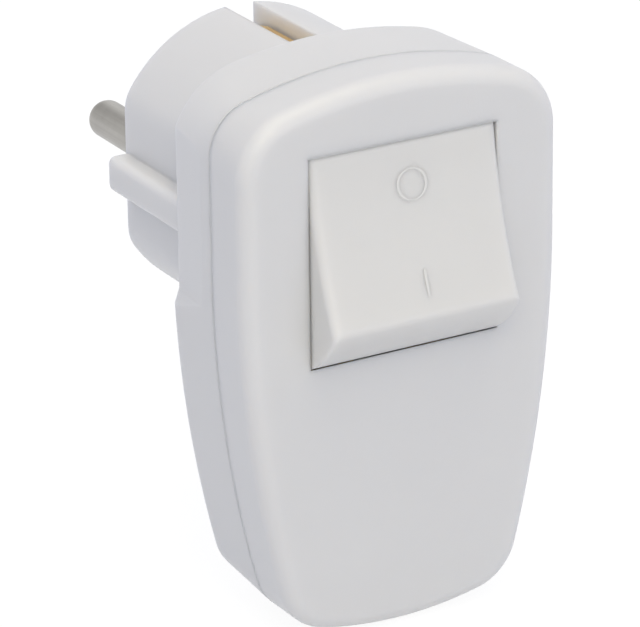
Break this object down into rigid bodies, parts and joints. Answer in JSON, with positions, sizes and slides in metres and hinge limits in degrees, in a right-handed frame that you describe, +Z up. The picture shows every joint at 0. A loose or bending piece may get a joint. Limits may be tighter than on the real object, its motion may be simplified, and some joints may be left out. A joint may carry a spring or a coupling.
{
  "type": "switched schuko plug",
  "caption": "White angled mains plug with round contact pins, side earth contacts, a cord inlet at its lower end and a wide rocker switch on its face.",
  "frame": {"origin": "middle of the plug face, between the two pins", "axes": "+Y along the pins, away from the plug, +X to the right as seen from the switch side, +Z up, away from the cord inlet"},
  "size_m": [0.0426, 0.0632, 0.0691],
  "materials": {
    "housing_plastic": "satin cool white",
    "rocker_plastic": "satin white, slightly warmer than the housing",
    "base_plastic": "matte off-white",
    "pin_metal": "nickel plated, satin",
    "contact_brass": "stamped, bare",
    "terminal_brass": "cut bar, bare",
    "contact_silver": "dull silver",
    "spring_steel": "drawn wire",
    "screw_steel": "zinc plated"
  },
  "bodies": {
    "housing": {"rear_housing": "housing_plastic", "front_cover": "housing_plastic", "switch_base": "base_plastic", "fixed_tips": "contact_silver", "fixed_contact_left": "contact_brass", "fixed_contact_right": "contact_brass", "hinge_bracket_left": "contact_brass", "hinge_bracket_right": "contact_brass", "pin_left": "pin_metal", "pin_right": "pin_metal", "pin_carrier": "base_plastic", "carrier_screw": "screw_steel", "earth_strip": "contact_brass", "earth_link": "contact_brass", "terminal_left": "terminal_brass", "terminal_right": "terminal_brass", "terminal_earth": "terminal_brass", "terminal_screws": "screw_steel", "cord_clamp": "base_plastic", "clamp_screws": "screw_steel", "housing_screws": "screw_steel"},
    "rocker": {"rocker": "rocker_plastic", "plunger_spring_left": "spring_steel", "plunger_spring_right": "spring_steel"},
    "plunger_left": {"plunger_left": "base_plastic"},
    "seesaw_left": {"moving_contact_left": "contact_brass", "moving_tip_left": "contact_silver"},
    "plunger_right": {"plunger_right": "base_plastic"},
    "seesaw_right": {"moving_contact_right": "contact_brass", "moving_tip_right": "contact_silver"}
  },
  "joints": [
    {"name": "rocker_tilt", "type": "hinge", "parent": "housing", "child": "rocker", "pos_m": [0, -0.0315, -0.0006], "axis": [1, 0, 0], "range_deg": [0, 32]},
    {"name": "plunger_slide_left", "type": "slide", "parent": "rocker", "child": "plunger_left", "axis": [0, 0.9613, -0.2756], "range_m": [-0.0008, 0], "stiffness_N_per_m": 500, "springref_m": 0.002, "deforming": ["plunger_spring_left"]},
    {"name": "seesaw_tilt_left", "type": "hinge", "parent": "housing", "child": "seesaw_left", "pos_m": [-0.007, -0.0247, -0.0006], "axis": [1, 0, 0], "range_deg": [-15, 0]},
    {"name": "plunger_slide_right", "type": "slide", "parent": "rocker", "child": "plunger_right", "axis": [0, 0.9613, -0.2756], "range_m": [-0.0008, 0], "stiffness_N_per_m": 500, "springref_m": 0.002, "deforming": ["plunger_spring_right"]},
    {"name": "seesaw_tilt_right", "type": "hinge", "parent": "housing", "child": "seesaw_right", "pos_m": [0.007, -0.0247, -0.0006], "axis": [1, 0, 0], "range_deg": [-15, 0]}
  ],
  "couplings": [
    {"joint": "seesaw_tilt_left", "follows": "rocker_tilt", "ratio": -0.46875},
    {"joint": "seesaw_tilt_right", "follows": "rocker_tilt", "ratio": -0.46875}
  ]
}
